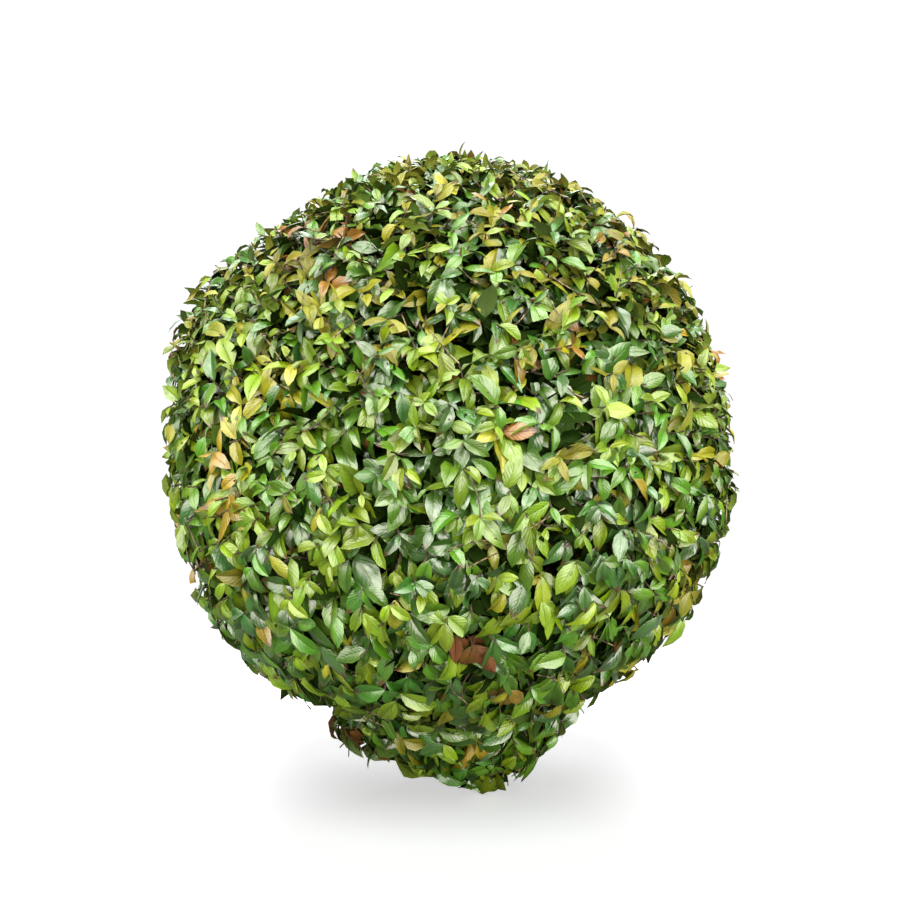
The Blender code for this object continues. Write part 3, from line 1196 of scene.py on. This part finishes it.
@dataclass
class LeafRoom:
    """Keeps track of where blades lie, so that a new one doesn't cut through another.

    A blade is four rows: its foot, its tip, its side from the rib and its normal.
    """

    STALK = 0.22  # the share of a rib that is too near the shoot to count
    BODY_SIZE = 0.80  # how much of a blade's ellipse can be cut

    cell: float = 0.045
    blades: dict[tuple[int, int, int], list[np.ndarray]] = field(
        default_factory=lambda: defaultdict(list)
    )

    def key(self, point: Vector) -> tuple[int, int, int]:
        """The cell that a point lies in."""
        return tuple(math.floor(number / self.cell) for number in point)

    def near(self, point: Vector) -> np.ndarray:
        """The blades about a point.

        Args:
            point: the point.

        Returns:
            The blades in its own cell and the cells round it.
        """
        x, y, z = self.key(point)
        near = [
            blade
            for i in (x - 1, x, x + 1) for j in (y - 1, y, y + 1) for k in (z - 1, z, z + 1)
            for blade in self.blades.get((i, j, k), ())
        ]
        return np.array(near).reshape(-1, 4, 3)

    def cuts(self, feet: np.ndarray, tips: np.ndarray, blades: np.ndarray) -> np.ndarray:
        """Whether each rib runs through the blade in the same row.

        Args:
            feet: where the ribs start.
            tips: where they end.
            blades: the blades.

        Returns:
            A truth for each row.
        """
        foot, tip, side, normal = (blades[:, number] for number in range(4))
        start = feet + self.STALK * (tips - feet)
        run = ((tips - start) * normal).sum(1)
        share = ((foot - start) * normal).sum(1) / np.where(np.abs(run) < 1e-9, 1e-9, run)
        hit = start + share[:, None] * (tips - start) - (foot + tip) / 2
        along = (tip - foot) / 2
        a = (hit * along).sum(1) / (along * along).sum(1)
        b = (hit * side).sum(1) / (side * side).sum(1)
        return (share > 0) & (share < 1) & (a * a + b * b < self.BODY_SIZE)

    def crossings(self, blade: np.ndarray, near: np.ndarray) -> int:
        """How many blades a new one would cut or be cut by.

        Args:
            blade: the new one.
            near: the blades about it.

        Returns:
            Their number.
        """
        if not len(near):
            return 0
        same = np.broadcast_to(blade, near.shape)
        there = self.cuts(same[:, 0], same[:, 1], near)
        back = self.cuts(near[:, 0], near[:, 1], same)
        return int((there | back).sum())

    def add(self, blade: np.ndarray) -> None:
        """Takes up a blade's room."""
        self.blades[self.key((blade[0] + blade[1]) / 2)].append(blade)


@dataclass(frozen=True)
class Bud:
    """Where a leaf starts on its shoot.

    foot is where its stalk leaves the shoot, axis is the shoot's direction, side is the
    side that it leaves on, and out is straight out of the mass. node is its pair's
    number, counted back from the tip, age runs from 0 there to 1 deep inside, and slack
    is how far the leaf may pass the clipped surface.
    """

    foot: Vector
    axis: Vector
    side: Vector
    out: Vector
    node: int
    age: float
    slack: float


@dataclass
class Growth:
    """Grows one mass: boughs from the limbs, shoots from the boughs, leaves on the shoots."""

    BOUGH_RADII, BOUGH_STEPS = (0.0065, 0.0036), 5  # at the foot and at the tip
    SHOOT_RADII, SHOOT_STEPS = (0.0024, 0.0011), 6
    TWIG_RADII, TWIG_STEPS = (0.0012, 0.0008), 4
    TWIG_LENGTHS = (0.030, 0.070)
    TWIG_DEPTH = 0.002
    OUT_WANDER = 0.03  # how far a shoot's place strays from the golden-angle rule
    AXIS_WANDER = 0.50  # how far its tip turns from straight out
    STRAIGHT = 0.045  # how far back from its tip a shoot counts as straight
    SLACKS = (-0.004, 0.009)
    PROUD_SLACK = (0.010, 0.008)  # at the side, and how much more at the top
    TIP_PAIR_SHARE = 0.45  # how many shoots have a pair of leaves at their very tip
    INNER_LOSS = 0.35  # how many shaded leaves have dropped
    NODE_SPIN = math.pi / 2

    LEANS = tuple(math.radians(lean) for lean in range(24, 133, 9))  # out from the shoot
    PULLS = (0.4, 1.25)  # the least and the most of a leaf's sag, as shares of the usual
    PULL_FALL = 2.2  # how fast the sag fades towards the top
    SAG_FLOOR, SAG_GAIN = 0.02, 40  # the height below which none sags, and the gain above it
    FACE_LIFT = 0.42  # how far the leaves turn up to the light
    FACE_WANDER = 0.58
    YOUNG_LOSS = (0.36, 0.14, 0.0)  # how much shorter the pairs next to the tip are
    LENGTHS = (0.6, 1.35)  # the least and the most, as shares of the usual
    HIGH_LOSS, LOW_GAIN = 0.22, 0.12  # how length changes towards the top and the foot
    DRY_LENGTH = 0.75
    REACH, WIDTH = 0.97, 0.45  # as shares of the length
    WIDTHS = (0.85, 1.12)  # the least and the most, as shares of the usual
    DROOP = 0.62  # how far an arched blade hangs, as a share of its length
    GROUND_GAP = 0.003
    LOW_HEIGHT, LOW_SLACK = 0.07, 0.015  # what leaves near the ground may pass the surface by
    CROWDED_SHARE = 0.30  # how many leaves stay though they cut another

    surface: ClippedSurface
    rule: ShootRule
    tints: TintRule
    store: LeafStore
    chance: random.Random
    room: LeafRoom = field(default_factory=LeafRoom)
    boughs: list[Limb] = field(default_factory=list)
    shoots: list[Limb] = field(default_factory=list)
    bare: list[Limb] = field(default_factory=list)
    leaf_count: int = 0

    def strayed(self, direction: Vector, wander: float) -> Vector:
        """A direction near the one given."""
        stray = Vector([self.chance.uniform(-wander, wander) for _ in range(3)])
        return (direction + stray).normalized()

    def grow(self, limb_tips: list[Vector]) -> None:
        """Grows everything, each bough from the nearest limb and each shoot from a bough.

        Args:
            limb_tips: where the stem's limbs end.
        """
        rule, surface = self.rule, self.surface
        ways, tips = [], []
        for out in golden_directions(rule.boughs):
            tip = surface.point(out, rule.bough_depth)
            if not surface.floor < tip.z < surface.ceiling:
                continue
            foot = min(limb_tips, key=lambda point: (point - tip).length)
            leaving = (foot - surface.centre) + out * 0.1
            bough = Limb.bent(foot, leaving, tip, out, self.BOUGH_RADII, self.BOUGH_STEPS)
            self.boughs.append(bough)
            ways.append(out)
            tips.append(tip)
        table = np.array([way[:] for way in ways])
        for inner, count in ((False, rule.shoots), (True, rule.inner_shoots)):
            for out in golden_directions(count, rule.crowding):
                out = self.strayed(out, self.OUT_WANDER)
                nearest = int((table @ np.array(out[:])).argmax())
                self.grow_shoot(out, tips[nearest], ways[nearest], inner)

    def grow_shoot(self, out: Vector, foot: Vector, bough: Vector, inner: bool) -> None:
        """One shoot, from the end of its bough.

        Args:
            out: the direction of its tip from the mass's centre.
            foot: where it leaves the bough.
            bough: the bough's direction there.
            inner: whether it stays in the dark inside.
        """
        rule, chance = self.rule, self.chance
        deep = inner or any(gap.covers(out) for gap in GAPS)
        depth = chance.uniform(*(rule.inner_depths if deep else rule.tip_depths))
        tip = self.surface.point(out, depth)
        axis = self.strayed(out - UP * rule.hang, self.AXIS_WANDER)
        if not self.surface.holds(tip, 0.0):
            return
        shoot = Limb.bent(foot, bough, tip, axis, self.SHOOT_RADII, self.SHOOT_STEPS)
        self.shoots.append(shoot)
        if chance.random() < rule.bare_share:
            self.grow_bare(tip, out)
        tint = self.tints.shoot_tint(out, chance)
        turn = chance.uniform(0, math.pi)
        slack = chance.uniform(*self.SLACKS)
        if chance.random() < rule.proud_share:
            slack = self.PROUD_SLACK[0] + self.PROUD_SLACK[1] * max(0.0, out.z)
        outer = 0 if inner else len(rule.nodes)
        first = 0 if inner or chance.random() < self.TIP_PAIR_SHARE else 1
        for number, back in enumerate(rule.nodes + rule.inner_nodes):
            if number < first:
                continue
            node = tip - axis * back if back < self.STRAIGHT else shoot.point_back(back)
            spin = Matrix.Rotation(turn + number * self.NODE_SPIN, 3, axis)
            across = spin @ axis.orthogonal().normalized()
            age = 1.0 if number >= outer else number / outer
            for side in (across, -across):
                if number >= outer and chance.random() < self.INNER_LOSS:
                    continue
                self.grow_leaf(Bud(node, axis, side, out, number, age, slack), tint)

    def grow_bare(self, foot: Vector, out: Vector) -> None:
        """A bare twig that lies just under the surface.

        Args:
            foot: where it starts.
            out: straight out of the mass here.
        """
        along = self.strayed(Vector((0, 0, 0)), 1.0)
        along = (along - out * along.dot(out) * 0.8).normalized()
        tip = foot + along * self.chance.uniform(*self.TWIG_LENGTHS)
        if self.surface.holds(tip, -self.TWIG_DEPTH):
            start = self.strayed(along, 0.5)
            twig = Limb.bent(foot, start, tip, along, self.TWIG_RADII, self.TWIG_STEPS)
            self.bare.append(twig)

    def leaf_length(self, bud: Bud, tint: Tint) -> float:
        """Draws how long a leaf is: shorter near its shoot's tip and high on the mass.

        Args:
            bud: where it starts.
            tint: its tint.

        Returns:
            The length.
        """
        low = smooth_step(0.0, 0.5, -bud.out.z)
        growth = 1 - self.YOUNG_LOSS[min(bud.node, 2)] * (1 - 0.8 * low)
        least, most = self.LENGTHS
        spread = max(least, min(most, self.chance.gauss(1.0, self.rule.length_spread)))
        if bud.age >= 1:
            return self.rule.inner_length
        change = 1 - (self.HIGH_LOSS if bud.out.z > 0 else self.LOW_GAIN) * bud.out.z
        length = self.rule.leaf_length * growth * spread * change
        return length * self.DRY_LENGTH if tint is Tint.DRY else length

    def above_ground(self, tip: Vector, turn: Matrix, length: float) -> bool:
        """Whether a leaf's blade, arched and folded, stays clear of the ground.

        Args:
            tip: where its tip would be if it were flat.
            turn: the directions of its rib, its width and its upper side, as columns.
            length: its length.

        Returns:
            Whether it does.
        """
        along, across, face = turn[2]
        arched = max(0.0, face) * length * self.DROOP
        folded = (0.3 + 0.5 * abs(across) - 0.3 * abs(along)) * (length * self.WIDTH)
        return tip.z >= arched + folded + self.GROUND_GAP

    def fitted(self, bud: Bud, length: float, tint: Tint) -> tuple[Matrix, np.ndarray, int] | None:
        """Leans a leaf out from its shoot until the surface and its neighbours let it be.

        Args:
            bud: where it starts.
            length: its length.
            tint: its tint. A shaded leaf may cut others.

        Returns:
            Its turn, the blade for LeafRoom and how many others it still cuts, or None
            where no lean keeps it within the surface.
        """
        chance, foot, out = self.chance, bud.foot, bud.out
        slack = max(bud.slack, self.LOW_SLACK) if foot.z < self.LOW_HEIGHT else bud.slack
        pull = self.rule.sag * chance.uniform(*self.PULLS) * (1.1 - out.z) ** self.PULL_FALL
        pull = min(pull, self.SAG_GAIN * max(0.0, foot.z - self.SAG_FLOOR))
        sag = (UP - out * out.z * 0.9) * pull
        facing = self.strayed(out + UP * self.FACE_LIFT, self.FACE_WANDER * (1 + 0.4 * out.z))
        near = self.room.near(foot + out * 0.01)
        best = None
        for lean in self.LEANS[chance.randint(0, 3) + min(bud.node, 2):]:
            along = (bud.axis * math.cos(lean) + bud.side * math.sin(lean) - sag).normalized()
            tip = foot + along * length * self.REACH
            if not self.surface.holds(tip, slack):
                continue
            face = (facing - along * facing.dot(along)).normalized()
            across = face.cross(along)
            turn = Matrix((along, across, face)).transposed()
            if not self.above_ground(tip, turn, length):
                continue
            side = across * (length * self.WIDTH) / 2
            blade = np.array([foot[:], tip[:], side[:], face[:]])
            crossings = 0 if tint is Tint.SHADE else self.room.crossings(blade, near)
            if best is None or crossings < best[2]:
                best = (turn, blade, crossings)
            if not crossings:
                break
        return best

    def grow_leaf(self, bud: Bud, shoot_tint: Tint) -> None:
        """One leaf, unless it has no room.

        Args:
            bud: where it starts.
            shoot_tint: the tint of its shoot.
        """
        chance = self.chance
        # Painted shade: leaves on the underside count as older, so more of them take the darker
        # tints and the near-black one.
        shaded = bud.age * (1 + 0.35 * smooth_step(0.2, 0.9, -bud.out.z))
        tint = self.tints.leaf_tint(shoot_tint, shaded, chance)
        length = self.leaf_length(bud, tint)
        fit = self.fitted(bud, length, tint)
        if fit is None or fit[2] and chance.random() > self.CROWDED_SHARE:
            return
        turn, blade, _ = fit
        size = Matrix.Diagonal((length, length * chance.uniform(*self.WIDTHS), length))
        place = Matrix.Translation(bud.foot) @ (turn @ size).to_4x4()
        self.store.add(tint, place, chance)
        if tint is not Tint.SHADE:
            self.room.add(blade)
        self.leaf_count += 1


def limb_mesh(name: str, limbs: list[Limb], sides: int) -> bpy.types.Mesh:
    """Joins limbs in one mesh of tapering tubes.

    Args:
        name: the mesh's name.
        limbs: the limbs.
        sides: 4 for twigs, or more by twos.

    Returns:
        The mesh, smooth.
    """
    curve = bpy.data.curves.new(name, "CURVE")
    curve.dimensions = "3D"
    curve.bevel_depth = 1.0
    curve.bevel_resolution = (sides - 4) // 2
    curve.use_fill_caps = True
    for limb in limbs:
        spline = curve.splines.new("POLY")
        spline.points.add(len(limb.points) - 1)
        for knot, point, radius in zip(spline.points, limb.points, limb.radii):
            knot.co = (*point, 1.0)
            knot.radius = radius
    holder = add_object(name, curve)
    bpy.context.view_layer.update()
    drawn = holder.evaluated_get(bpy.context.evaluated_depsgraph_get())
    mesh = bpy.data.meshes.new_from_object(drawn)
    bpy.data.objects.remove(holder)
    bpy.data.curves.remove(curve)
    mesh.shade_smooth()
    mesh.name = name
    return mesh


def add_piece(
    name: str, mesh: bpy.types.Mesh, material: bpy.types.Material, node: str
) -> None:
    """Adds a finished piece, which stands for a node of the frame.

    Args:
        name: the piece's name.
        mesh: its mesh, in place.
        material: its material.
        node: the node it replaces.
    """
    mesh.materials.clear()
    mesh.materials.append(material)
    piece = add_object(name, mesh)
    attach(piece, BODY)
    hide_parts(node)
    LOG.info("%s: %d faces", name, len(mesh.polygons))


# ---------------------------------------------------------------- the stem


@dataclass(frozen=True)
class Stem:
    """The short stem: its bark's relief, its root flare and the limbs that fork from it.

    around and up are how many corners its mesh has, and up_crowding is how closely they
    crowd towards the foot. Limbs reach a share of the way to the crown's surface, and
    fork from the stem above a share of its height.
    """

    height: float = 0.300
    radius: float = 0.022
    tip_radius: float = 0.015
    flare: float = 0.012
    flare_fall: float = 0.020
    lobes: int = 5
    lobe_depth: float = 0.20
    lean: Vector = field(default_factory=lambda: Vector((-0.030, 0.010, 0.0)))
    lean_growth: float = 1.3
    around: int = 96
    up: int = 110
    up_crowding: float = 1.4
    relief: float = 0.0016
    fissures: float = 5.5
    fissure_shortness: float = 9
    crumbs: float = 4.3
    limb_count: int = 18
    limb_reach: float = 0.56
    limb_fork: float = 0.45
    limb_lift: float = 0.9
    limb_radii: tuple[float, float] = (0.0125, 0.0070)

    def middle(self, height: float) -> Vector:
        """The stem's middle at a height."""
        return self.lean * (height / self.height) ** self.lean_growth + UP * height

    def radius_at(self, height: float, angle: float) -> float:
        """The stem's radius before the bark's relief.

        Args:
            height: the height on it.
            angle: the angle round it.

        Returns:
            The radius.
        """
        taper = self.radius + (self.tip_radius - self.radius) * height / self.height
        swell = math.exp(-height / self.flare_fall)
        return taper + swell * self.flare * (1 + self.lobe_depth * math.cos(self.lobes * angle))

    def bark_relief(self, height: float, angle: float) -> float:
        """How far the bark stands out from the stem's radius, in stretched fissures.

        Args:
            height: the height on the stem.
            angle: the angle round it.

        Returns:
            The distance, below 0 where the bark stands in.
        """
        place = Vector((math.cos(angle), math.sin(angle), height * self.fissure_shortness))
        place *= self.fissures
        ridge = min(1.0, abs(noise.noise(place)) * 3.2)
        return self.relief * (ridge - 1.0 + 0.25 * (noise.noise(place * self.crumbs) - 1.0))

    def shape(self) -> bmesh.types.BMesh:
        """The stem as a grid rolled into a tube.

        Returns:
            The tube, closed at both ends.
        """
        tube = bmesh.new()
        bmesh.ops.create_grid(tube, x_segments=self.around, y_segments=self.up, size=0.5)
        for corner in tube.verts:
            angle, share = 2 * math.pi * (corner.co.x + 0.5), corner.co.y + 0.5
            height = self.height * share**self.up_crowding
            radius = self.radius_at(height, angle) + self.bark_relief(height, angle)
            corner.co = self.middle(height) + direction_at(angle, 0.0) * radius
        bmesh.ops.remove_doubles(tube, verts=tube.verts, dist=1e-6)
        bmesh.ops.holes_fill(tube, edges=[edge for edge in tube.edges if edge.is_boundary])
        bmesh.ops.recalc_face_normals(tube, faces=tube.faces)
        return tube

    def limbs(self, surface: ClippedSurface) -> list[Limb]:
        """The limbs that fork from the stem, each towards its own part of the crown.

        Args:
            surface: the crown's surface.

        Returns:
            The limbs.
        """
        limbs = []
        for out in golden_directions(self.limb_count):
            tip = surface.centre + out * surface.radius(out) * self.limb_reach
            up = self.limb_fork + (1 - self.limb_fork) * smooth_step(-1, 1, out.z)
            foot = self.middle(self.height * up)
            leaving = (tip - foot).normalized() + UP * self.limb_lift
            limbs.append(Limb.bent(foot, leaving, tip, out, self.limb_radii, 8))
        return limbs

    def build(self, finishes: Finishes) -> list[Vector]:
        """Makes the stem and its limbs.

        Args:
            finishes: where the materials come from.

        Returns:
            The tips of the limbs.
        """
        mesh = bpy.data.meshes.new("stem_bark")
        shape = self.shape()
        shape.to_mesh(mesh)
        shape.free()
        mesh.shade_smooth()
        add_piece("stem_bark", mesh, finishes.of(Wood.STEM), "stem")
        limbs = self.limbs(CROWN_SURFACE)
        bark = finishes.of(Wood.LIMBS)
        add_piece("limbs", limb_mesh("limbs", limbs, 8), bark, "crown")
        return [limb.points[-1] for limb in limbs]


# ---------------------------------------------------------------- the foliage


@dataclass(frozen=True)
class Foliage:
    """One mass of foliage, built and dressed."""

    node: str
    slot: str
    surface: ClippedSurface
    rule: ShootRule
    tints: TintRule
    seed: int

    def build(self, limb_tips: list[Vector], store: LeafStore, finishes: Finishes) -> None:
        """Grows the mass and joins it, the boughs, the shoots and each tint of leaf apart.

        Args:
            limb_tips: where the stem's limbs end.
            store: an empty store of leaves.
            finishes: where the materials come from.
        """
        growth = Growth(self.surface, self.rule, self.tints, store, random.Random(self.seed))
        growth.grow(limb_tips)
        for wood, limbs, sides in (
            (Wood.BOUGHS, growth.boughs, 6),
            (Wood.SHOOTS, growth.shoots, 4),
            (Wood.BARE_TWIGS, growth.bare, 4),
        ):
            name = f"{self.node}_{wood.value}"
            mesh = limb_mesh(name, limbs, sides)
            add_piece(name, mesh, finishes.of(wood), self.node)
        for tint in Tint:
            if store.placed[tint]:
                name = f"{self.node}_leaves_{tint.value}"
                add_piece(name, store.mesh(tint, name), finishes.of(tint), self.node)
        LOG.info("%s: %d shoots, %d leaves", self.node, len(growth.shoots), growth.leaf_count)


CROWN = Foliage(
    node="crown",
    slot="crown_foliage",
    surface=CROWN_SURFACE,
    rule=ShootRule(
        boughs=100,
        bough_depth=0.115,
        crowding=1.36,
        shoots=2350,
        tip_depths=(0.010, 0.030),
        inner_shoots=600,
        inner_depths=(0.085, 0.125),
        hang=0.25,
        sag=0.60,
        nodes=(0.0, 0.012, 0.027, 0.044),
        inner_nodes=(0.060, 0.080),
        leaf_length=0.050,
        length_spread=0.22,
        inner_length=0.065,
        bare_share=0.10,
        proud_share=0.07,
    ),
    tints=CROWN_TINTS,
    seed=11,
)

SKIRT = Foliage(
    node="skirt",
    slot="skirt_foliage",
    surface=SKIRT_SURFACE,
    rule=ShootRule(
        boughs=40,
        bough_depth=0.085,
        crowding=0.85,
        shoots=640,
        tip_depths=(0.006, 0.024),
        inner_shoots=160,
        inner_depths=(0.045, 0.080),
        hang=0.45,
        sag=0.80,
        nodes=(0.0, 0.012, 0.027, 0.044),
        inner_nodes=(0.060,),
        leaf_length=0.060,
        length_spread=0.14,
        inner_length=0.050,
        bare_share=0.12,
        proud_share=0.02,
    ),
    tints=SKIRT_TINTS,
    seed=23,
)


# ---------------------------------------------------------------- the studio


@dataclass(frozen=True)
class Studio:
    """The pale floor, the soft light and the camera.

    LAMPS gives each lamp's name, its turns about X, Y and Z, its strength, how wide it
    spreads and its colour, with angles in degrees.
    """

    WARM = (1.0, 0.95, 0.85)
    NEUTRAL = (0.96, 1.0, 1.0)
    LAMPS = (
        ("sun", (46, 0, -10), 1.1, 24.0, WARM),
        ("sky", (40, 0, 0), 2.7, 110.0, WARM),
        ("front left", (58, 0, -55), 4.40, 60.0, WARM),
        ("front right", (58, 0, 55), 4.75, 60.0, WARM),
        ("low", (84, 0, 12), 4.1, 45.0, WARM),
        ("overhead near", (36, -2, 0), 1.67, 30.0, NEUTRAL),
        ("overhead", (-4, -2, 0), 1.67, 30.0, NEUTRAL),
        ("overhead far", (-44, -2, 0), 1.67, 30.0, NEUTRAL),
        ("back", (76, 0, 180), 1.6, 90.0, NEUTRAL),
    )
    BLACK, WHITE = (0.0, 0.0, 0.0, 1.0), (1.0, 1.0, 1.0, 1.0)

    floor_radius: float = 0.95
    floor_colour: Colour = (0.84, 0.82, 0.82, 1.0)
    floor_bounce: Colour = (0.30, 0.30, 0.27, 1.0)
    floor_glow: float = 0.60
    background: float = 1.05
    ambient: float = 0.05
    aim: Vector = field(default_factory=lambda: Vector((-0.047, 0.0, 0.500)))
    distance: float = 1.952
    elevation: float = math.radians(7)
    lens: float = 50.0
    sensor: float = 36.0
    framing_lift: float = math.atan(23 / 1250)

    def build(self) -> None:
        """Makes them all."""
        floor = self.build_floor()
        self.build_world()
        self.build_lights(floor)
        self.build_camera()

    def build_floor(self) -> bpy.types.Object:
        """Makes a round pale floor at ground level that throws little light back up.

        Returns:
            The floor.
        """
        disc = bmesh.new()
        bmesh.ops.create_circle(disc, cap_ends=True, segments=96, radius=self.floor_radius)
        mesh = bpy.data.meshes.new("studio_floor")
        disc.to_mesh(mesh)
        disc.free()
        material, nodes, shader = new_material("studio floor")
        seen = nodes.add("ShaderNodeLightPath").outputs["Is Camera Ray"]
        nodes.feed(
            shader,
            Base_Color=nodes.mix(seen, self.floor_bounce, self.floor_colour),
            Emission_Color=nodes.mix(seen, self.BLACK, self.WHITE),
            Emission_Strength=self.floor_glow,
            Roughness=0.9,
            Specular_IOR_Level=0.0,
        )
        mesh.materials.append(material)
        floor = add_object("studio_floor", mesh)
        return floor

    def build_world(self) -> None:
        """Makes a white background that lights the scene more softly than it looks."""
        world = bpy.data.worlds.new("studio")
        bpy.context.scene.world = world
        world.use_nodes = True
        nodes = Nodes(world.node_tree)
        seen = nodes.add("ShaderNodeLightPath").outputs["Is Camera Ray"]
        strength = nodes.plus(nodes.times(seen, self.background - self.ambient), self.ambient)
        nodes.feed(world.node_tree.nodes["Background"], Color=self.WHITE, Strength=strength)

    def build_lights(self, floor: bpy.types.Object) -> None:
        """Makes soft lights in front and above, a low fill and a faint back light.

        Three overhead lights give the floor its one soft shadow. The others leave
        the floor out.

        Args:
            floor: the floor, which only the overhead lights fall on.
        """
        shaded = bpy.data.collections.new("overhead lights only")
        shaded.objects.link(floor)
        shaded.collection_objects[0].light_linking.link_state = "EXCLUDE"
        for name, turns, energy, spread, colour in self.LAMPS:
            light = bpy.data.lights.new(name, "SUN")
            light.energy = energy
            light.angle = math.radians(spread)
            light.color = colour
            lamp = add_object(name, light)
            lamp.rotation_euler = [math.radians(turn) for turn in turns]
            if not name.startswith("overhead"):
                lamp.light_linking.receiver_collection = shaded

    def build_camera(self) -> None:
        """Makes the camera, a little above the ball's middle and straight in front."""
        camera = bpy.data.cameras.new("camera")
        camera.lens = self.lens
        camera.sensor_width = self.sensor
        holder = add_object("camera", camera)
        holder.location = self.aim + direction_at(math.radians(-90), self.elevation) * self.distance
        tilt = math.radians(90) - self.elevation + self.framing_lift
        holder.rotation_euler = (tilt, 0.0, 0.0)
        bpy.context.scene.camera = holder
        bpy.context.scene.view_settings.view_transform = "Standard"


def main() -> None:
    logging.basicConfig(level=logging.INFO, format="%(name)s: %(message)s")
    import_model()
    finishes = Finishes()
    kinds = LeafKinds()
    forms = [LeafArrays.of(form) for form in kinds.forms()]
    limb_tips = Stem().build(finishes)
    for foliage in (CROWN, SKIRT):
        foliage.build(limb_tips, LeafStore(forms, kinds.inner_count), finishes)
    Studio().build()


if __name__ == "__main__":
    main()
